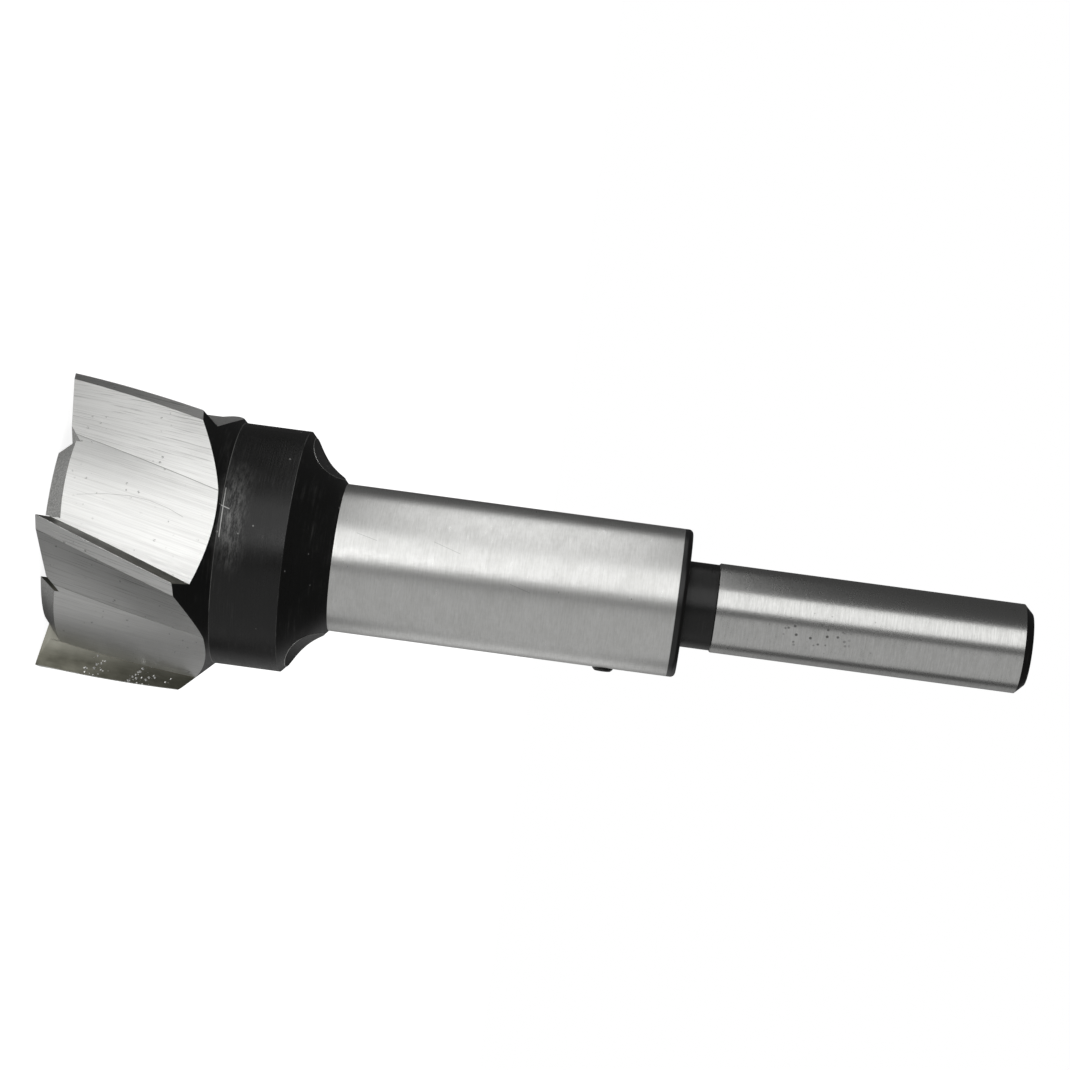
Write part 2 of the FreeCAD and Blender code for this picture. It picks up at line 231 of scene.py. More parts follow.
# %% Positions along the teeth
def along_place(tree, share, squeeze):
    """Position for marks that run along the teeth, with a share of the winding undone."""
    place, axes = object_place(tree)
    back = calculate(tree, "MULTIPLY", axes[2], -WINDING * share)
    turned = add(tree, "ShaderNodeVectorRotate", {"Vector": place, "Angle": back},
                 rotation_type="Z_AXIS").outputs[0]
    outward = add(tree, "ShaderNodeVectorMath", {0: stretched(tree, turned, (1, 1, 0))},
                  operation="NORMALIZE").outputs[0]
    round_it = stretched(tree, outward, (TIP_RADIUS, TIP_RADIUS, 0))
    along_it = stretched(tree, place, (0, 0, squeeze))
    return add(tree, "ShaderNodeVectorMath", {0: round_it, 1: along_it},
               operation="ADD").outputs[0]


def tooth_angle(tree):
    """Angle behind a point's own leading edge, from 0 to one pitch."""
    _, axes = object_place(tree)
    winding = calculate(tree, "MULTIPLY", axes[2], WINDING)
    unwound = calculate(tree, "SUBTRACT", azimuth(tree, axes), winding)
    # Two whole turns are added, because the remainder of a negative angle is negative.
    behind = calculate(tree, "SUBTRACT", unwound, FIRST_TIP - 2 * FULL_TURN)
    return calculate(tree, "MODULO", behind, PITCH)


print("marks can run along the teeth")

# %% [markdown]
# ## Small damage
#
# The tool has been used: it has hairline scratches, pits and a few longer
# scratches at known places. A hairline is where a stretched noise passes
# through its middle value, which makes long thin wandering lines. A pit is
# the middle of a random cell, kept only for a small share of the cells.

# %% Hairlines and pits
NOISE_MIDDLE = 0.5
GAP_SCALE, GAP_FADE = 0.37, 0.05
HAIR_WIDTH = 0.003
PIT_CORE = 0.6


def hairlines(tree, vector, scale, share):
    """Mask of long thin lines, which a second noise keeps in a share of the surface."""
    value = noise(tree, vector, scale, detail=0.0)
    away = calculate(tree, "ABSOLUTE", calculate(tree, "SUBTRACT", value, NOISE_MIDDLE))
    line = spread(tree, away, 0.0, HAIR_WIDTH, 1.0, 0.0)
    gaps = noise(tree, vector, scale * GAP_SCALE, detail=1.0)
    return both(tree, line, spread(tree, gaps, 1 - share, 1 - share + GAP_FADE))


def pits(tree, vector, scale, size, share):
    """Mask of small round spots in a random share of the cells."""
    cells = add(tree, "ShaderNodeTexVoronoi", {"Vector": vector, "Scale": scale})
    spot = spread(tree, cells.outputs["Distance"], size * PIT_CORE, size, 1.0, 0.0)
    chance = add(tree, "ShaderNodeSeparateColor", {0: cells.outputs["Color"]}).outputs[0]
    return both(tree, spot, calculate(tree, "LESS_THAN", chance, share))


print("a pit is solid over", PIT_CORE, "of its size")

# %% Patches and scratches at known places
PATCH_FADE = 1.2 * MM
SCRATCH_CORE = 0.4


def window(tree, value, low, high, soft):
    """Mask that is on between two values, with soft ends."""
    rise = spread(tree, value, low - soft, low + soft)
    fall = spread(tree, value, high - soft, high + soft, 1.0, 0.0)
    return both(tree, rise, fall)


def patch(tree, arc, station, radius, angles, stations, soft):
    """Mask of a patch between two angles in degrees and two stations."""
    low, high = (math.radians(angle) * radius for angle in angles)
    return both(tree, window(tree, arc, low, high, soft),
                window(tree, station, *stations, PATCH_FADE))


def scratch(tree, arc, station, start, end, width):
    """Mask of one straight scratch between two places, each (arc, station)."""
    run = Vector(end) - Vector(start)
    length = run.length
    run.normalize()
    across = calculate(tree, "SUBTRACT", arc, start[0])
    down = calculate(tree, "SUBTRACT", station, start[1])
    forward = mixture(tree, (across, run.x), (down, run.y))
    aside = calculate(tree, "ABSOLUTE", mixture(tree, (across, run.y), (down, -run.x)))
    line = spread(tree, aside, width * SCRATCH_CORE, width, 1.0, 0.0)
    return both(tree, line, window(tree, forward, 0.0, length, width))


def scratches(tree, arc, station, radius, runs, width):
    """Mask of scratches; a run has two ends, each in degrees and millimetres."""
    masks = []
    for run in runs:
        start, end = ((math.radians(angle) * radius, place * MM) for angle, place in run)
        masks.append(scratch(tree, arc, station, start, end, width))
    return either(tree, *masks)


print("patches and scratches can be placed")

# %% [markdown]
# ## How a finish is put together
#
# A finish has a colour, a roughness, a share of bare metal and a height. A
# black patch on bright steel changes all of these at once, so one function
# takes them together and joins them to the shader.

# %% Put a finish together
SKIN_IOR = 1.55
BUMP_STRENGTH = 0.5
DEEPEST_LINE, HIGHEST_LINE = 0.3, 0.7


def new_finish(name):
    """Start a material and return it with its tree."""
    material = bpy.data.materials.new(name)
    material.use_nodes = True
    return material, material.node_tree


def line_roughness(tree, lines, deep, high):
    """Roughness that follows the marks, from their deepest lines to their highest."""
    return spread(tree, lines, DEEPEST_LINE, HIGHEST_LINE, deep, high)


def join_finish(tree, colour, roughness, metal, height, depth, shine=0.5):
    """Join a finish's parts to the main shader; depth is how deep the marks are."""
    bump = add(tree, "ShaderNodeBump", {"Strength": BUMP_STRENGTH, "Distance": depth,
                                        "Height": height})
    fill(tree, tree.nodes["Principled BSDF"], {
        "IOR": SKIN_IOR, "Specular IOR Level": shine, "Base Color": colour,
        "Roughness": roughness, "Metallic": metal, "Normal": bump.outputs[0]})


print("finishes can be joined")

# %% [markdown]
# ## Ground teeth
#
# A wheel that runs along each tooth leaves long fine lines, with deeper
# grooves just behind the edge. The crease between the two ground facets
# holds a thin dark line, and use has left hairlines, small pits and one long
# scratch. A noise lies near 0.5 most of the time, so a narrow range round
# that value gives a mask with a clear edge.

# %% Marks on the ground facets
FINE_LINES, BROAD_LINES, GROOVES = 9000.0, 2600.0, 5200.0
CREASE_HALF, CREASE_FADE = 0.0022, 0.002
GROOVES_END = 1.4 * CREASE_ANGLE
TOOTH_SCRATCH = ((-102.5, 4.5), (-104.5, 8.5), (-105.0, 12.0), (-104.0, 14.8), (-101.5, 17.6),
                 (-98.5, 19.8))


def crease_and_grooves(tree, lines):
    """Mask of the dark line in the crease and of the grooves behind the edge."""
    behind = tooth_angle(tree)
    crease = window(tree, behind, CREASE_ANGLE - CREASE_HALF, CREASE_ANGLE + CREASE_HALF,
                    CREASE_FADE)
    crease = both(tree, crease, spread(tree, lines, 0.3, 0.5, 0.6, 0.95))
    cuts = noise(tree, along_place(tree, share=0.68, squeeze=0.02), GROOVES, roughness=0.8)
    near_edge = spread(tree, behind, LAND_ANGLE, GROOVES_END, 0.55, 0.12)
    return either(tree, crease, both(tree, spread(tree, cuts, 0.34, 0.44, 1.0, 0.0), near_edge))


def tooth_damage(tree):
    """Mask of hairlines, of pits in clusters and of one long scratch."""
    place, axes = object_place(tree)
    hair = hairlines(tree, stretched(tree, place, (0.9, 0.9, 0.12)), scale=210.0, share=0.3)
    clusters = spread(tree, noise(tree, place, scale=260.0, detail=1.0), 0.46, 0.58)
    ragged = spread(tree, noise(tree, place, scale=5000.0), 0.42, 0.56)
    spots = both(tree, pits(tree, place, scale=1100.0, size=0.26, share=0.3), clusters)
    arc = calculate(tree, "MULTIPLY", azimuth(tree, axes), TIP_RADIUS)
    line = scratches(tree, arc, axes[2], TIP_RADIUS, zip(TOOTH_SCRATCH, TOOTH_SCRATCH[1:]),
                     width=0.05 * MM)
    return either(tree, both(tree, hair, 0.6), both(tree, both(tree, spots, ragged), 0.8),
                  both(tree, line, 0.6))


print("the long scratch has", len(TOOTH_SCRATCH), "points")

# %% Finish of the ground facets
TOOTH_BRIGHT, TOOTH_SHADED = (0.92, 0.92, 0.90, 1), (0.80, 0.80, 0.78, 1)
TOOTH_MARK = (0.14, 0.14, 0.13, 1)


def ground_tooth_finish():
    """Long grinding lines with a dark crease, grooves and damage."""
    material, tree = new_finish("ground_tooth_steel")
    along = along_place(tree, share=0.7, squeeze=0.009)
    fine = noise(tree, along, FINE_LINES, roughness=0.7)
    broad = noise(tree, along, BROAD_LINES, detail=3.0, roughness=0.75)
    lines = mixture(tree, (fine, 0.5), (broad, 0.5))
    tone = blend_colours(tree, spread(tree, lines, 0.34, 0.56), TOOTH_SHADED, TOOTH_BRIGHT)
    marks = either(tree, tooth_damage(tree), crease_and_grooves(tree, lines))
    tone = blend_colours(tree, both(tree, marks, 0.75), tone, TOOTH_MARK)
    height = calculate(tree, "SUBTRACT", lines, both(tree, marks, 0.6))
    join_finish(tree, tone, line_roughness(tree, lines, 0.44, 0.32), 1.0, height,
                depth=0.04 * MM)
    return material


tooth_steel = ground_tooth_finish()
print("facets:", tooth_steel.name, "from", TOOTH_SHADED[:3], "to", TOOTH_BRIGHT[:3])

# %% Finish of the bevels
# Painted shade: the bevels' steel is far darker than the teeth's, standing in for the shade on
# faces that look down.
BEVEL_PAINTED_SHADE_LIGHT, BEVEL_PAINTED_SHADE_DARK = (0.30, 0.30, 0.29, 1), (0.17, 0.17, 0.165, 1)


def bevel_finish():
    """Small bevels at the tips, ground across with a coarser wheel, in steel darkened as painted
    shade.
    """
    material, tree = new_finish("ground_bevel_steel")
    place, _ = object_place(tree)
    lines = noise(tree, stretched(tree, place, (1, 1, 0.12)), scale=4200.0, detail=3.0,
                  roughness=0.7)
    tone = blend_colours(tree, spread(tree, lines, 0.35, 0.65), BEVEL_PAINTED_SHADE_DARK, BEVEL_PAINTED_SHADE_LIGHT)
    join_finish(tree, tone, line_roughness(tree, lines, 0.42, 0.3), 1.0, lines,
                depth=0.04 * MM)
    return material


bevel_steel = bevel_finish()
print("bevels:", bevel_steel.name)

# %% [markdown]
# ## Rake faces
#
# The rake faces, in front of the leading edges, are a dull olive grey. The
# one at the bottom of the photograph, towards +X, faces the light: it has
# specks of bare metal and a pale band along the cup, a painted highlight.
# Away from that side the faces get darker, as painted shade. One position and
# one colour range say both, so all five faces can share a material.

# %% Finish of the rake faces
RAKE_BRIGHT, RAKE_SHADED = (0.25, 0.245, 0.20, 1), (0.13, 0.128, 0.10, 1)
# A painted shade colour and a painted highlight colour for the rake faces.
RAKE_PAINTED_SHADE, RAKE_PAINTED_HIGHLIGHT = (0.0, 0.0, 0.0, 1), (0.40, 0.395, 0.34, 1)
RAKE_SPECK = (0.75, 0.75, 0.70, 1)
PAINTED_SHADE_SIDE, LIT_SIDE = 6 * MM, 15 * MM
PAINTED_BAND_START, PAINTED_BAND_END = 18.2 * MM, 20.4 * MM


def rake_finish():
    """Mottled olive grey with painted shade, a painted highlight along the cup and bare specks.
    """
    material, tree = new_finish("rake_face_steel")
    place, axes = object_place(tree)
    stain = noise(tree, place, scale=300.0, detail=3.0, roughness=0.55)
    lines = noise(tree, along_place(tree, share=1.0, squeeze=0.03), scale=4200.0, detail=3.0,
                  roughness=0.7)
    mottle = mixture(tree, (stain, 0.5), (lines, 0.5))
    tone = blend_colours(tree, spread(tree, mottle, 0.38, 0.62), RAKE_SHADED, RAKE_BRIGHT)
    lit_side = spread(tree, axes[0], PAINTED_SHADE_SIDE, LIT_SIDE)
    # Painted shade: the faces get darker away from the lit side at +X.
    tone = blend_colours(tree, spread(tree, lit_side, 0, 1, 0.25, 1.0), RAKE_PAINTED_SHADE, tone)
    square = calculate(tree, "ADD", calculate(tree, "POWER", axes[0], 2.0),
                       calculate(tree, "POWER", axes[1], 2.0))
    # Painted highlight: a pale band along the cup, as the root fillet's reflection, strongest on
    # the lit side.
    painted_band = spread(tree, calculate(tree, "SQRT", square), PAINTED_BAND_START, PAINTED_BAND_END, 1.0, 0.0)
    painted_band = both(tree, painted_band, spread(tree, lit_side, 0, 1, 0.1, 0.8))
    tone = blend_colours(tree, painted_band, tone, RAKE_PAINTED_HIGHLIGHT)
    specks = both(tree, pits(tree, place, scale=1500.0, size=0.2, share=0.08), lit_side)
    tone = blend_colours(tree, specks, tone, RAKE_SPECK)
    join_finish(tree, tone, line_roughness(tree, mottle, 0.46, 0.34), 1.0, mottle,
                depth=0.06 * MM)
    return material


rake_steel = rake_finish()
print("rake faces:", rake_steel.name)

# %% [markdown]
# ## Black oxide
#
# The body is blackened steel: a thin dark skin over turned metal. It is
# nearly black, smooth enough to show a soft highlight, and it has fine rings
# from the lathe. Where something has rubbed it, grey metal shows through. A
# patch of that grey, where the highlight falls, is also a painted highlight.
# Paint with a clear gloss would look too deep, so this is a dark, slightly
# rough surface whose roughness and bumps carry the rings.

# %% Wear and painted highlight of the blackened body
# The rubbed patch lies where the body's highlight falls: partly wear, partly painted highlight.
WEAR_AND_SHEEN_ANGLES, WEAR_AND_SHEEN_STATIONS = (-122.0, -84.0), (24.9 * MM, 28.0 * MM)
BODY_SCRATCHES = (((-115.5, 24.95), (-92.0, 25.1)), ((-107.0, 24.5), (-105.5, 25.9)))
CORNER_FADE = 0.03 * MM


def worn_corner(tree, station, low, high, strength):
    """Mask of a turned corner between two stations, where its black has rubbed off."""
    return both(tree, window(tree, station, low, high, CORNER_FADE), strength)


def body_wear(tree, arc, station, rings, clouds):
    """Mask of the places where grey metal shows through the black, with a patch in the highlight
    that is partly painted highlight.
    """
    place, _ = object_place(tree)
    # Wear streaks placed in the highlight, so they are partly painted highlight.
    zone = patch(tree, arc, station, BODY_RADIUS, WEAR_AND_SHEEN_ANGLES, WEAR_AND_SHEEN_STATIONS, 3.0 * MM)
    wear_and_sheen = both(tree, zone, spread(tree, clouds, 0.34, 0.6))
    smear = noise(tree, stretched(tree, place, (0.25, 0.25, 1)), scale=2600.0, detail=3.0,
                  roughness=0.8)
    streaks_and_sheen = both(tree, wear_and_sheen, spread(tree, smear, 0.40, 0.66))
    faint = both(tree, spread(tree, clouds, 0.5, 0.7), spread(tree, rings, 0.52, 0.66))
    nicks = either(tree, pits(tree, place, scale=700.0, size=0.14, share=0.09),
                   hairlines(tree, stretched(tree, place, (1, 1, 0.3)), scale=300.0, share=0.12))
    front = worn_corner(tree, station, BODY_START - 0.05 * MM, BODY_START + 0.03 * MM,
                        spread(tree, clouds, 0.35, 0.6, 0.1, 0.5))
    rear = worn_corner(tree, station, SHOULDER_START - 0.04 * MM, SHOULDER_START + 0.04 * MM,
                       spread(tree, clouds, 0.4, 0.6, 0.05, 0.35))
    line = scratches(tree, arc, station, BODY_RADIUS, BODY_SCRATCHES, width=0.085 * MM)
    return either(tree, both(tree, streaks_and_sheen, 0.5), both(tree, nicks, 0.8),
                  both(tree, faint, 0.09), front, rear, both(tree, line, 2.2))


print("scratches on the body:", len(BODY_SCRATCHES))

# %% Finish of the blackened body
BLACK_STEEL, WORN_AND_SHEEN_GREY = (0.0045, 0.0045, 0.0042, 1), (0.38, 0.38, 0.37, 1)


def black_oxide_finish():
    """Black skin with lathe rings, which wear and a painted highlight turn into grey metal."""
    material, tree = new_finish("black_oxide")
    rings_place, arc, station = round_place(tree, BODY_RADIUS, squeeze=0.03)
    place, _ = object_place(tree)
    rings = noise(tree, rings_place, scale=4200.0, detail=3.0, roughness=0.8)
    clouds = noise(tree, place, scale=150.0, detail=4.0, roughness=0.65)
    worn_and_sheen = body_wear(tree, arc, station, rings, clouds)
    tone = blend_colours(tree, worn_and_sheen, BLACK_STEEL, WORN_AND_SHEEN_GREY)
    rough = calculate(tree, "ADD", line_roughness(tree, rings, 0.27, 0.38),
                      spread(tree, clouds, 0.35, 0.65, -0.03, 0.05))
    join_finish(tree, tone, rough, both(tree, worn_and_sheen, 0.9), rings, depth=0.04 * MM, shine=0.42)
    return material


black_steel = black_oxide_finish()
print("body:", black_steel.name)

# %% [markdown]
# ## Ground stem and shank
#
# Both were ground while they turned, so their marks run round them. The
# stem's last millimetre was left black, and so were the shank's neck and its
# chamfered end. The shank also has a cluster of dark pits where a chuck has
# bitten.


# %% Marks of grinding round the tool
def ground_lines(tree, rings_place, coarse):
    """Rings from the wheel, with some grain and a soft cloudiness."""
    place, _ = object_place(tree)
    rings = noise(tree, rings_place, coarse, roughness=0.7)
    grain = noise(tree, place, scale=1800.0, roughness=0.6)
    clouds = noise(tree, place, scale=340.0, detail=3.0, roughness=0.6)
    return mixture(tree, (rings, 0.55), (grain, 0.20), (clouds, 0.25))


def ground_round_finish(name, radius, coarse, shaded, bright):
    """Start a ground round finish; return its parts, its hairlines and its positions."""
    material, tree = new_finish(name)
    rings_place, arc, station = round_place(tree, radius, squeeze=0.10)
    lines = ground_lines(tree, rings_place, coarse)
    tone = blend_colours(tree, spread(tree, lines, 0.36, 0.64), shaded, bright)
    place, _ = object_place(tree)
    hair = hairlines(tree, stretched(tree, place, (1, 1, 0.4)), scale=170.0, share=0.25)
    return material, tree, lines, tone, hair, arc, station


print("round pieces can be ground")

# %% Finish of the stem
STEM_BRIGHT, STEM_SHADED = (0.79, 0.79, 0.775, 1), (0.68, 0.68, 0.66, 1)
STEM_MARK = (0.2, 0.2, 0.19, 1)
STEM_SCRATCHES = (((-110.6, 43.5), (-106.6, 46.5)), ((-111.7, 54.5), (-104.9, 58.5)),
                  ((-87.1, 66.0), (-82.5, 69.0)))
RING_FADE = 0.04 * MM


def stem_finish():
    """Ground stem whose last millimetre is black."""
    material, tree, lines, tone, hair, arc, station = ground_round_finish(
        "ground_stem_steel", STEM_RADIUS, 5200.0, STEM_SHADED, STEM_BRIGHT)
    marks = either(tree, hair, scratches(tree, arc, station, STEM_RADIUS, STEM_SCRATCHES,
                                         width=0.05 * MM))
    tone = blend_colours(tree, both(tree, marks, 0.4), tone, STEM_MARK)
    black = spread(tree, station, BLACK_RING - RING_FADE, BLACK_RING + RING_FADE)
    tone = blend_colours(tree, black, tone, BLACK_STEEL)
    join_finish(tree, tone, line_roughness(tree, lines, 0.38, 0.26),
                calculate(tree, "SUBTRACT", 1.0, black), lines, depth=0.02 * MM)
    return material


stem_steel = stem_finish()
print("stem:", stem_steel.name, "with", len(STEM_SCRATCHES), "scratches")

# %% Finish of the shank
SHANK_BRIGHT, SHANK_SHADED = (0.71, 0.71, 0.695, 1), (0.58, 0.58, 0.565, 1)
SHANK_MARK = (0.07, 0.07, 0.065, 1)
BITE_ANGLES, BITE_STATIONS = (-84.0, -56.0), (105.5 * MM, 114.5 * MM)


def shank_finish():
    """Ground shank with a cluster of dark pits."""
    material, tree, lines, tone, hair, arc, station = ground_round_finish(
        "ground_shank_steel", SHANK_RADIUS, 4200.0, SHANK_SHADED, SHANK_BRIGHT)
    place, _ = object_place(tree)
    bitten = patch(tree, arc, station, SHANK_RADIUS, BITE_ANGLES, BITE_STATIONS, 0.6 * MM)
    cluster = both(tree, pits(tree, place, scale=1100.0, size=0.28, share=0.75), bitten)
    strays = pits(tree, place, scale=900.0, size=0.14, share=0.16)
    marks = either(tree, both(tree, hair, 0.4), cluster, both(tree, strays, 0.35))
    tone = blend_colours(tree, both(tree, marks, 0.8), tone, SHANK_MARK)
    height = calculate(tree, "SUBTRACT", lines, marks)
    join_finish(tree, tone, line_roughness(tree, lines, 0.29, 0.22), 1.0, height,
                depth=0.01 * MM)
    return material


shank_steel = shank_finish()
print("shank:", shank_steel.name)

# %% [markdown]
# ## Which face has which finish
#
# The head is one piece of steel with five finishes. Its faces could be
# sorted by hand, but their place and direction already say what cut them:
# the cup's wall and the rear cone are black, the rake faces look forwards
# round the tool, the bevels look down at the tips, and the rest of the tooth
# zone is ground. Behind it come the black body and the ground stem.

# %% Sort the head's faces
HEAD_FINISHES = (tooth_steel, bevel_steel, rake_steel, black_steel, stem_steel)
TOOTH, BEVEL, RAKE, BLACK, STEM = range(len(HEAD_FINISHES))
STEM_SLACK, STEP_SLACK = 0.02 * MM, 0.01 * MM
CONE_SLACK, CUP_SLACK = 0.12 * MM, 0.1 * MM
SKIN_SHARE = 0.9
BEVEL_ZONE = 6 * MM
INWARDS, DOWNWARDS, FORWARDS = -0.5, -0.6, 0.8


def on_rear_cone(station, radius):
    """Tell whether a place lies on the turned cone behind the teeth."""
    cone = TIP_RADIUS - (station - TOOTH_END) * CONE_SLOPE
    return abs(radius - cone) < CONE_SLACK


def head_finish(centre, normal):
    """Choose the finish of one face of the head from where it lies and looks."""
    radius = math.hypot(centre.x, centre.y)
    outward = Vector((centre.x, centre.y, 0)).normalized()
    leading = Vector((outward.y, -outward.x, 0))
    if centre.z > STEM_START - STEM_SLACK:
        is_skin = radius > SKIN_SHARE * STEM_RADIUS and centre.z < REAR_FACE - STEP_SLACK
        return STEM if is_skin else BLACK
    if centre.z > BODY_START or on_rear_cone(centre.z, radius):
        return BLACK
    if radius < CUP_RADIUS + CUP_SLACK and normal.dot(outward) < INWARDS:
        return BLACK
    if normal.z < DOWNWARDS and centre.z < BEVEL_ZONE:
        return BEVEL
    return RAKE if normal.dot(leading) > FORWARDS else TOOTH


def dress(node, finishes, choose):
    """Give a node its finishes, face by face, and count the faces of each."""
    node.data.materials.clear()
    for material in finishes:
        node.data.materials.append(material)
    counts = [0] * len(finishes)
    for face in node.data.polygons:
        face.material_index = choose(face.center, face.normal)
        counts[face.material_index] += 1
    return counts


print("faces of each finish on the head", dress(head, HEAD_FINISHES, head_finish))


# %% Sort the shank's faces and blacken the set screw
def is_black_on_shank(centre, _):
    """Tell whether a face of the shank is on its black neck, chamfer or end."""
    return int(not SHANK_START < centre.z < SHANK_CHAMFER + STEP_SLACK)


print("ground and black faces on the shank",
      dress(shank, (shank_steel, black_steel), is_black_on_shank))
set_screw.data.materials.clear()
set_screw.data.materials.append(black_steel)

# %% [markdown]
# ## Helpers for geometry nodes
#
# Fine details that follow a rule are grown by Geometry Nodes: bright edges
# that follow the winding teeth, rims round the scallops, and chips on a rake
# face. Each tree has named inputs for its sizes. Its result is turned into a
# plain mesh, which is what rides on the tool.


# %% Build and grow a tree
def new_tree(name, sizes):
    """Start a geometry tree with named number inputs; return tree, input and output."""
    tree = bpy.data.node_groups.new(name, "GeometryNodeTree")
    tree.interface.new_socket("Geometry", in_out="INPUT", socket_type="NodeSocketGeometry")
    for label, value in sizes.items():
        kind = "NodeSocketInt" if isinstance(value, int) else "NodeSocketFloat"
        tree.interface.new_socket(label, in_out="INPUT", socket_type=kind)
    tree.interface.new_socket("Geometry", in_out="OUTPUT", socket_type="NodeSocketGeometry")
    return tree, tree.nodes.new("NodeGroupInput"), tree.nodes.new("NodeGroupOutput")


def finish_tree(tree, geometry, end, material):
    """End a tree with real geometry in its material."""
    real = add(tree, "GeometryNodeRealizeInstances", {0: geometry})
    shaded = add(tree, "GeometryNodeSetMaterial", {"Geometry": real.outputs[0],
                                                   "Material": material})
    tree.links.new(shaded.outputs[0], end.inputs[0])


def new_object(name, data):
    """Make an object and put it in the scene."""
    thing = bpy.data.objects.new(name, data)
    bpy.context.scene.collection.objects.link(thing)
    return thing


def grow(tree, name, sizes, base=None):
    """Run a tree on a base mesh and return the result as a plain mesh object."""
    holder = new_object(name + "_base", base or bpy.data.meshes.new(name + "_base"))
    modifier = holder.modifiers.new(name, "NODES")
    modifier.node_group = tree
    for item in tree.interface.items_tree:
        if item.in_out == "INPUT" and item.name in sizes:
            modifier[item.identifier] = sizes[item.name]
    evaluated = holder.evaluated_get(bpy.context.evaluated_depsgraph_get())
    mesh = bpy.data.meshes.new_from_object(evaluated)
    holder.modifiers.remove(modifier)
    bpy.data.objects.remove(holder)
    piece = new_object(name, mesh)
    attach(piece, "root")
    return piece


print("trees can be grown")

# %% Shape a rod and repeat it round the tool
ROD_SIDES = 6


def point_axes(tree):
    """The three parts of each point's position."""
    place = add(tree, "GeometryNodeInputPosition").outputs[0]
    return add(tree, "ShaderNodeSeparateXYZ", {0: place}).outputs


def axial(tree, value):
    """A place along the tool's axis, or a turn about it."""
    return add(tree, "ShaderNodeCombineXYZ", {2: value}).outputs[0]


def round_section(tree, path, width):
    """Give a path a round section."""
    ring = add(tree, "GeometryNodeCurvePrimitiveCircle", {"Resolution": ROD_SIDES,
                                                          "Radius": width})
    return add(tree, "GeometryNodeCurveToMesh", {"Curve": path, "Profile Curve": ring.outputs[0],
                                                 "Fill Caps": True}).outputs[0]


def repeat_round(tree, rod, count, step, first=0.0):
    """Copies of a rod, each turned one step further about the tool's axis."""
    # A mesh line's points lie 1 m apart unless its offset is set, and here all are on the axis.
    points = add(tree, "GeometryNodeMeshLine", {"Count": count, "Offset": (0, 0, 0)})
    index = add(tree, "GeometryNodeInputIndex").outputs[0]
    angle = calculate(tree, "ADD", calculate(tree, "MULTIPLY", index, step), first)
    return add(tree, "GeometryNodeInstanceOnPoints", {
        "Points": points.outputs[0], "Instance": rod, "Rotation": axial(tree, angle)}).outputs[0]


print("a rod has", ROD_SIDES, "sides")


# %% A bright finish for worn edges
def edge_finish():
    """Steel that has been rubbed bright, with small dull stretches."""
    material, tree = new_finish("rubbed_edge_steel")
    place, _ = object_place(tree)
    dull = noise(tree, place, scale=900.0)
    tone = blend_colours(tree, spread(tree, dull, 0.4, 0.6), STEM_SHADED, TOOTH_BRIGHT)
    join_finish(tree, tone, spread(tree, dull, 0.35, 0.65, 0.42, 0.25), 1.0, dull,
                depth=0.02 * MM)
    return material


edge_steel = edge_finish()
print("edges:", edge_steel.name)

# %% [markdown]
# ## Honed leading edges
#
# A honing stone leaves a narrow bright line along each leading edge. A
# painted line would blur at the corner of two faces, so it is a thin rod
# that follows the edge: a straight line is wound round the tool, given a
# small round section and repeated once for each tooth.

# %% Grow the honed edges
EDGE_POINTS = 40


def wound_place(tree, source):
    """Positions of a straight line after it is wound onto the leading edge."""
    out = source.outputs
    station = point_axes(tree)[2]
    angle = calculate(tree, "ADD", calculate(tree, "MULTIPLY", station, out["Winding"]),
                      out["First tip"])
    across = calculate(tree, "MULTIPLY", calculate(tree, "COSINE", angle), out["Radius"])
    up = calculate(tree, "MULTIPLY", calculate(tree, "SINE", angle), out["Radius"])
    return add(tree, "ShaderNodeCombineXYZ", {0: across, 1: up, 2: station}).outputs[0]


def grow_honed_edges():
    """One thin bright rod along each leading edge."""
    sizes = {"Teeth": TEETH_COUNT, "Radius": TIP_RADIUS - 0.035 * MM, "First tip": FIRST_TIP,
             "Winding": WINDING, "Start": 0.35 * MM, "End": TOOTH_END - 0.1 * MM,
             "Width": 0.055 * MM}
    tree, start, end = new_tree("honed_edges", sizes)
    out = start.outputs
    line = add(tree, "GeometryNodeCurvePrimitiveLine", {
        "Start": axial(tree, out["Start"]), "End": axial(tree, out["End"])})
    fine = add(tree, "GeometryNodeResampleCurve", {"Curve": line.outputs[0],
                                                   "Count": EDGE_POINTS})
    wound = add(tree, "GeometryNodeSetPosition", {
        "Geometry": fine.outputs[0], "Position": wound_place(tree, start)})
    rod = round_section(tree, wound.outputs[0], out["Width"])
    step = calculate(tree, "DIVIDE", FULL_TURN, out["Teeth"])
    finish_tree(tree, repeat_round(tree, rod, out["Teeth"], step), end, edge_steel)
    return grow(tree, "honed_edges", sizes)


honed_edges = grow_honed_edges()
print("honed edges:", len(honed_edges.data.polygons), "faces")

# %% [markdown]
# ## Bright rims of the scallops
#
# Two scallops are milled across the shoulder. Their sharp rims have lost
# their black skin and shine as thin curved lines. A rim is where the round
# cutter meets the shoulder's cone, so both surfaces' own formulas give its
# path, and a circle of points is moved onto it.

# %% Sizes of the scallops
SCALLOP_COUNT = 2
SCALLOP_RADIUS = 6.7 * MM
SCALLOP_STATION = 41.7 * MM
SCALLOP_HEIGHT = 0.35 * MM
SCALLOP_CENTRE = STEM_RADIUS + SCALLOP_HEIGHT + SCALLOP_RADIUS
SCALLOP_AZIMUTH = math.radians(184.0)
SCALLOP_SPREAD = math.radians(172.0)
SHOULDER_SLOPE = (BODY_RADIUS - STEM_RADIUS) / (STEM_START - SHOULDER_START)
MID_SCALLOP = 37.5 * MM
HALVINGS = 40


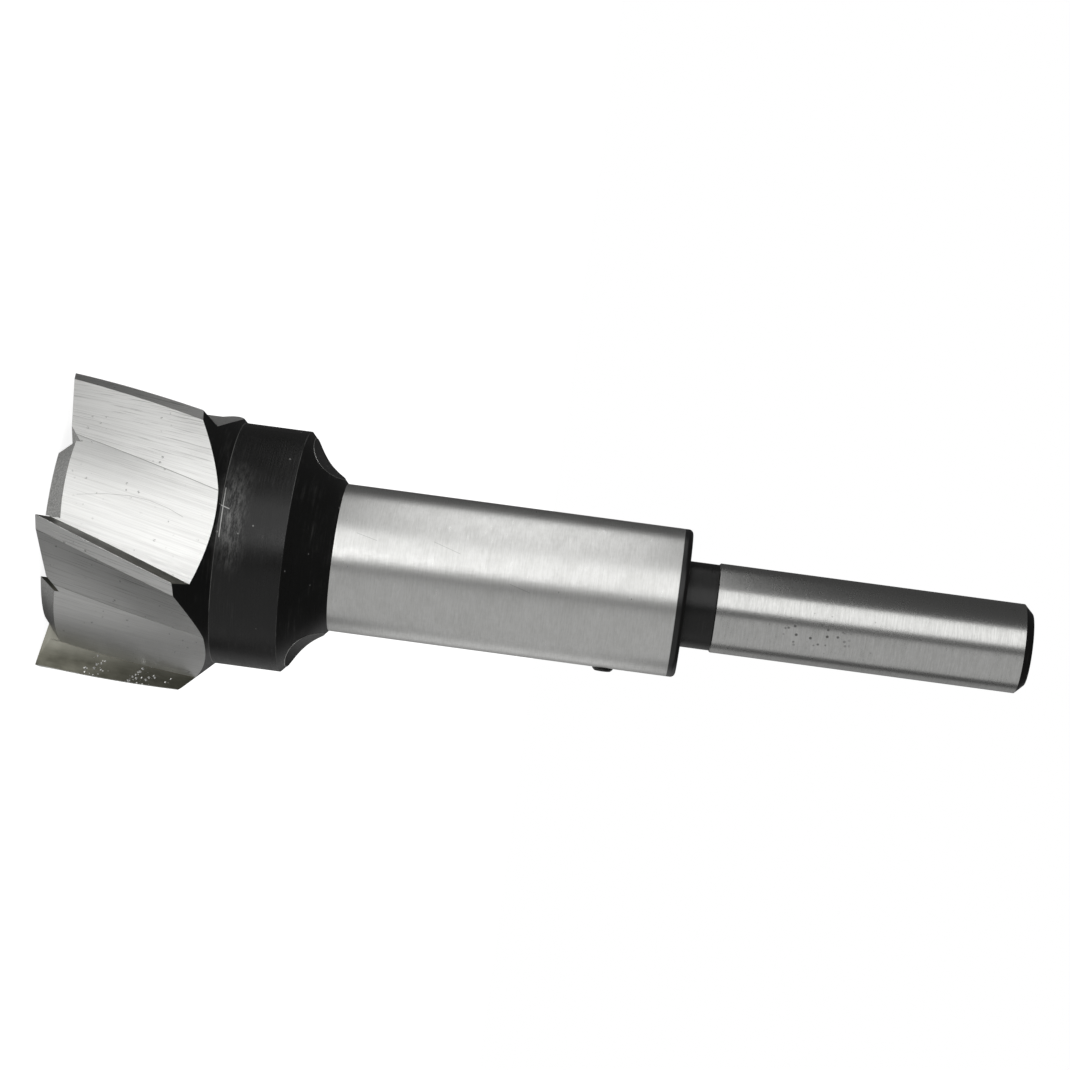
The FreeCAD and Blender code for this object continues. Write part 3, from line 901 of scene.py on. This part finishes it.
def scallop_gap(station):
    """How far the cone stands above the scallop's bottom at a station."""
    cone = BODY_RADIUS - SHOULDER_SLOPE * (station - SHOULDER_START)
    drop = math.sqrt(max(SCALLOP_RADIUS ** 2 - (SCALLOP_STATION - station) ** 2, 0.0))
    return cone - (SCALLOP_CENTRE - drop)


def find_rim_end(outside, inside):
    """Find an end of the scallop, by halving the stretch between two stations."""
    for _ in range(HALVINGS):
        middle = (outside + inside) / 2
        if scallop_gap(middle) > 0:
            inside = middle
        else:
            outside = middle
    return inside


RIM_START = find_rim_end(SCALLOP_STATION - SCALLOP_RADIUS, MID_SCALLOP)
RIM_END = find_rim_end(STEM_START, MID_SCALLOP)
print("the rims run from", round(RIM_START, 5), "to", round(RIM_END, 5))

# %% Grow the scallops' rims
RIM_POINTS = 96


def rim_place(tree, source):
    """Positions of a unit circle after it is moved onto the scallop's rim."""
    out = source.outputs
    unit = point_axes(tree)
    station = spread(tree, unit[0], -1.0, 1.0, out["Start"], out["End"])
    past = calculate(tree, "SUBTRACT", station, out["Shoulder start"])
    cone = calculate(tree, "SUBTRACT", out["Body radius"],
                     calculate(tree, "MULTIPLY", past, out["Slope"]))
    short = calculate(tree, "SUBTRACT", out["Cutter station"], station)
    square = calculate(tree, "SUBTRACT", calculate(tree, "POWER", out["Cutter radius"], 2.0),
                       calculate(tree, "POWER", short, 2.0))
    across = calculate(tree, "SUBTRACT", out["Cutter centre"], calculate(tree, "SQRT", square))
    width = calculate(tree, "SUBTRACT", calculate(tree, "POWER", cone, 2.0),
                      calculate(tree, "POWER", across, 2.0))
    half = calculate(tree, "SQRT", calculate(tree, "MAXIMUM", width, 0.0))
    side = calculate(tree, "MULTIPLY", calculate(tree, "SIGN", unit[1]), half)
    return add(tree, "ShaderNodeCombineXYZ", {0: across, 1: side, 2: station}).outputs[0]


def grow_scallop_rims():
    """A thin bright rod round each of the two scallops."""
    sizes = {"Scallops": SCALLOP_COUNT, "Start": RIM_START, "End": RIM_END,
             "Shoulder start": SHOULDER_START, "Body radius": BODY_RADIUS,
             "Slope": SHOULDER_SLOPE, "Cutter station": SCALLOP_STATION,
             "Cutter radius": SCALLOP_RADIUS, "Cutter centre": SCALLOP_CENTRE,
             "Azimuth": SCALLOP_AZIMUTH, "Spread": SCALLOP_SPREAD, "Width": 0.045 * MM}
    tree, start, end = new_tree("scallop_rims", sizes)
    out = start.outputs
    circle = add(tree, "GeometryNodeCurvePrimitiveCircle", {"Resolution": RIM_POINTS,
                                                            "Radius": 1.0})
    moved = add(tree, "GeometryNodeSetPosition", {
        "Geometry": circle.outputs[0], "Position": rim_place(tree, start)})
    rod = round_section(tree, moved.outputs[0], out["Width"])
    pair = repeat_round(tree, rod, out["Scallops"], out["Spread"], out["Azimuth"])
    finish_tree(tree, pair, end, edge_steel)
    return grow(tree, "scallop_rims", sizes)


scallop_rims = grow_scallop_rims()
print("scallop rims:", len(scallop_rims.data.polygons), "faces")

# %% [markdown]
# ## Chips on a rake face
#
# Bright chips stick to the rake face at the bottom of the photograph, more
# of them towards its rear. They are scattered over a copy of the rake faces,
# but only past the low side, so the other faces stay bare. Each chip is a
# small flattened stone of its own size and turn, from a fixed seed.


# %% Copy the rake faces
def copy_faces(finish, places=7):
    """Copy the head's faces of one finish, with equal corners joined, into a mesh."""
    source = head.data
    corners, faces, numbers = [], [], {}
    for face in source.polygons:
        if face.material_index != finish or face.center.z > TOOTH_END:
            continue
        row = []
        for index in face.vertices:
            place = tuple(round(value, places) for value in source.vertices[index].co)
            if place not in numbers:
                numbers[place] = len(corners)
                corners.append(place)
            row.append(numbers[place])
        if len(set(row)) == len(row):
            faces.append(row)
    mesh = bpy.data.meshes.new("rake_faces")
    mesh.from_pydata(corners, [], faces)
    return mesh


rake_faces = copy_faces(RAKE)
print("rake faces:", len(rake_faces.polygons))

# %% Where the chips lie
REAR_CROWDING = 1.5
CLUSTER_SCALE = 520.0
CLUSTER_EDGE = (0.54, 0.64)


def chip_crowd(tree, out):
    """Chips a square metre: none before the low side, and more of them to the rear."""
    axes = point_axes(tree)
    rear = calculate(tree, "POWER", calculate(tree, "DIVIDE", axes[2], out["Reach"]),
                     REAR_CROWDING)
    low_side = calculate(tree, "GREATER_THAN", axes[0], out["Low side"])
    patches = add(tree, "ShaderNodeTexNoise", {"Scale": CLUSTER_SCALE}).outputs[0]
    clusters = spread(tree, patches, *CLUSTER_EDGE)
    return calculate(tree, "MULTIPLY", calculate(tree, "MULTIPLY", rear, out["Density"]),
                     both(tree, clusters, low_side))


print("chips gather where a noise is over", CLUSTER_EDGE[0])

# %% Grow the chips
CHIP_JAG = 0.35


def random_number(tree, low, high, seed):
    """A random number for each chip."""
    return add(tree, "FunctionNodeRandomValue", {2: low, 3: high, "Seed": seed},
               data_type="FLOAT").outputs[1]


def rough_stone(tree, seed):
    """A round stone whose corners are moved at random."""
    stone = add(tree, "GeometryNodeMeshIcoSphere", {"Radius": 1.0, "Subdivisions": 1})
    jag = add(tree, "FunctionNodeRandomValue", {0: (-CHIP_JAG,) * 3, 1: (CHIP_JAG,) * 3,
                                                "Seed": seed}, data_type="FLOAT_VECTOR")
    return add(tree, "GeometryNodeSetPosition", {"Geometry": stone.outputs[0],
                                                 "Offset": jag.outputs[0]}).outputs[0]


def grow_rake_chips():
    """Small flat chips scattered over the low rake face."""
    sizes = {"Density": 30000000.0, "Smallest": 0.025 * MM, "Largest": 0.24 * MM,
             "Flatness": 0.4, "Reach": TOOTH_END, "Low side": 14 * MM, "Seed": 7}
    tree, start, end = new_tree("rake_chips", sizes)
    out = start.outputs
    points = add(tree, "GeometryNodeDistributePointsOnFaces", {
        "Mesh": out["Geometry"], "Density": chip_crowd(tree, out), "Seed": out["Seed"]})
    size = random_number(tree, out["Smallest"], out["Largest"], out["Seed"])
    flat = calculate(tree, "MULTIPLY", size, out["Flatness"])
    scale = add(tree, "ShaderNodeCombineXYZ", {0: size, 1: size, 2: flat})
    turn = axial(tree, random_number(tree, 0.0, FULL_TURN, out["Seed"]))
    spin = add(tree, "FunctionNodeRotateRotation", {0: points.outputs["Rotation"], 1: turn},
               rotation_space="LOCAL")
    copies = add(tree, "GeometryNodeInstanceOnPoints", {
        "Points": points.outputs[0], "Instance": rough_stone(tree, out["Seed"]),
        "Rotation": spin.outputs[0], "Scale": scale.outputs[0]})
    finish_tree(tree, copies.outputs[0], end, edge_steel)
    return grow(tree, "rake_chips", sizes, rake_faces)


rake_chips = grow_rake_chips()
print("rake chips:", len(rake_chips.data.polygons), "faces")

# %% [markdown]
# ## Camera
#
# The photograph is taken from the side with a long lens. The tool stands on
# its teeth here, so the camera is turned on its side to see it as it lies in
# the photograph. The lens and the distance come from how much the near
# teeth look larger than the far ones.

# %% Camera at the photograph's angle
PIXELS = 1070
FOCAL_PIXELS = 3000.0
SENSOR_WIDTH = 36.0
CAMERA_DISTANCE = 0.4353
CAMERA_STATION = 80.7 * MM
CENTRE_STATION = 68.35 * MM
CENTRE_OFFSET = -7.0 * MM
AXIS_SLOPE = math.radians(7.62)


def turned_to(place, right, up, back):
    """Matrix that puts an object at a place, with its own axes along three directions."""
    return Matrix.Translation(place) @ Matrix((right, up, back)).transposed().to_4x4()


camera_data = bpy.data.cameras.new("camera")
camera_data.sensor_width = SENSOR_WIDTH
camera_data.lens = SENSOR_WIDTH * FOCAL_PIXELS / PIXELS
camera = new_object("camera", camera_data)
stand = Vector((0, -CAMERA_DISTANCE, CAMERA_STATION))
target = Vector((CENTRE_OFFSET, 0, CENTRE_STATION))
back = (stand - target).normalized()
right = Vector((-math.sin(AXIS_SLOPE), 0, math.cos(AXIS_SLOPE)))
right = (right - back * right.dot(back)).normalized()
camera.matrix_world = turned_to(stand, right, back.cross(right), back)
bpy.context.scene.camera = camera
print("the camera stands", CAMERA_DISTANCE, "m from the tool")

# %% [markdown]
# ## Floor
#
# The floor glows white for the camera, and its glow doesn't reach matt
# surfaces, so it adds none to the tool. Its mirror image would hide the
# lamps that stand low, and so would its shadow. It has neither, so the steel
# sees through it to the white world below.

# %% Floor
WHITE = (1, 1, 1, 1)
FLOOR_COLOUR = (0.8, 0.8, 0.8, 1)
FLOOR_REACH = 3.0
FLOOR_GLOW = 0.9


def seen_or_mirrored(tree):
    """Mask that is on for camera, glossy and transmission rays."""
    ray = add(tree, "ShaderNodeLightPath").outputs
    return either(tree, ray["Is Camera Ray"], ray["Is Glossy Ray"], ray["Is Transmission Ray"])


def floor_finish():
    """Pale matt floor that glows for camera, glossy and transmission rays."""
    material, tree = new_finish("pale_floor")
    glow = calculate(tree, "MULTIPLY", seen_or_mirrored(tree), FLOOR_GLOW)
    fill(tree, tree.nodes["Principled BSDF"], {
        "Base Color": FLOOR_COLOUR, "Roughness": 1.0, "Specular IOR Level": 0.0,
        "Emission Color": WHITE, "Emission Strength": glow})
    return material


floor_mesh = bpy.data.meshes.new("floor")
floor_corners = [(side * FLOOR_REACH, end * FLOOR_REACH, 0)
                 for side, end in ((-1, -1), (1, -1), (1, 1), (-1, 1))]
floor_mesh.from_pydata(floor_corners, [], [(0, 1, 2, 3)])
floor_mesh.materials.append(floor_finish())
floor = new_object("floor", floor_mesh)
floor.visible_glossy = False
floor.visible_shadow = False
print("the floor is", FLOOR_COLOUR[:3], "with a glow of", FLOOR_GLOW)

# %% [markdown]
# ## A studio that steel can mirror
#
# Polished steel in an all white room looks flat, because it mirrors nothing
# but white. Photographers stand dark card round it, just outside the
# picture. The world does the same here: steel mirrors the white below the
# tool, and dark card in all other directions. The camera sees white all
# round, and matt surfaces get a dim even light.

# %% World
ROOM_LIGHT = 0.3
CARD_TONE = 0.055
CARD_EDGE = (-0.62, -0.80)


def card_or_white(tree):
    """How bright a mirrored direction is: white below, and dark card elsewhere."""
    direction = add(tree, "ShaderNodeTexCoord").outputs["Generated"]
    axes = add(tree, "ShaderNodeSeparateXYZ", {0: direction}).outputs
    return spread(tree, axes[2], *CARD_EDGE, CARD_TONE, 1)


world = bpy.data.worlds.new("studio")
world.use_nodes = True
bpy.context.scene.world = world
tree = world.node_tree
room = tree.nodes["Background"]
fill(tree, room, {"Color": WHITE, "Strength": ROOM_LIGHT})
shown = either(tree, add(tree, "ShaderNodeLightPath").outputs["Is Camera Ray"],
               card_or_white(tree))
seen = add(tree, "ShaderNodeBackground", {"Color": WHITE, "Strength": shown})
choice = add(tree, "ShaderNodeMixShader", {0: seen_or_mirrored(tree), 1: room.outputs[0],
                                           2: seen.outputs[0]})
fill(tree, tree.nodes["World Output"], {"Surface": choice.outputs[0]})
print("the world is white with card of", CARD_TONE, "in it")

# %% [markdown]
# ## Soft lamps
#
# Each lamp is a soft box whose face points at the tool. A lamp's brightness
# matters more than its power here, because that is what the steel mirrors:
# at 1, white steel just reaches white. The key, lower and back boxes serve
# the whole tool. The body box is a bright strip, placed low for the black
# body, and the near boxes are short, for the stem or the teeth alone.

# %% Lamps
UP = Vector((0, 0, 1))
# Each has a name, two angles in degrees, a distance, two stations and a brightness.
LAMPS = (
    ("key_box", (3, 48), 0.9, (-0.45, 0.60), 1.14),
    ("body_box", (-1, 12), 0.85, (-0.115, -0.055), 5.0),
    ("lower_box", (-104, -17), 0.9, (-0.30, 0.60), 0.40),
    ("stem_top_box", (48, 112), 0.15, (0.031, 0.093), 1.04),
    ("stem_low_box", (-145, -100), 0.15, (0.031, 0.093), 0.36),
    ("tooth_box", (46, 80), 0.08, (-0.060, -0.003), 0.50),
    ("back_box", (-165, -125), 0.9, (-0.30, 0.60), 0.22),
)


def softbox(name, angles, distance, stations, brightness):
    """A soft box that fills an angle round the tool and a stretch along it.

    The angles start at the camera's side and grow towards the top of the
    photograph; the stations are where the box starts and ends along the tool.
    """
    low, high = (math.radians(angle) for angle in angles)
    width = 2 * distance * math.tan((high - low) / 2)
    length = stations[1] - stations[0]
    lamp_data = bpy.data.lights.new(name, "AREA")
    lamp_data.shape = "RECTANGLE"
    lamp_data.size = width
    lamp_data.size_y = length
    lamp_data.energy = brightness * math.pi * width * length
    lamp = new_object(name, lamp_data)
    angle = (low + high) / 2
    away = Vector((-math.sin(angle), -math.cos(angle), 0))
    place = away * distance + UP * sum(stations) / 2
    lamp.matrix_world = turned_to(place, UP.cross(away), UP, away)
    lamp.visible_camera = False


for lamp in LAMPS:
    softbox(*lamp)
print("lamps:", len(bpy.data.lights))

# %% [markdown]
# ## View transform
#
# The colours are shown through the standard view transform.

# %% View transform
bpy.context.scene.view_settings.view_transform = "Standard"
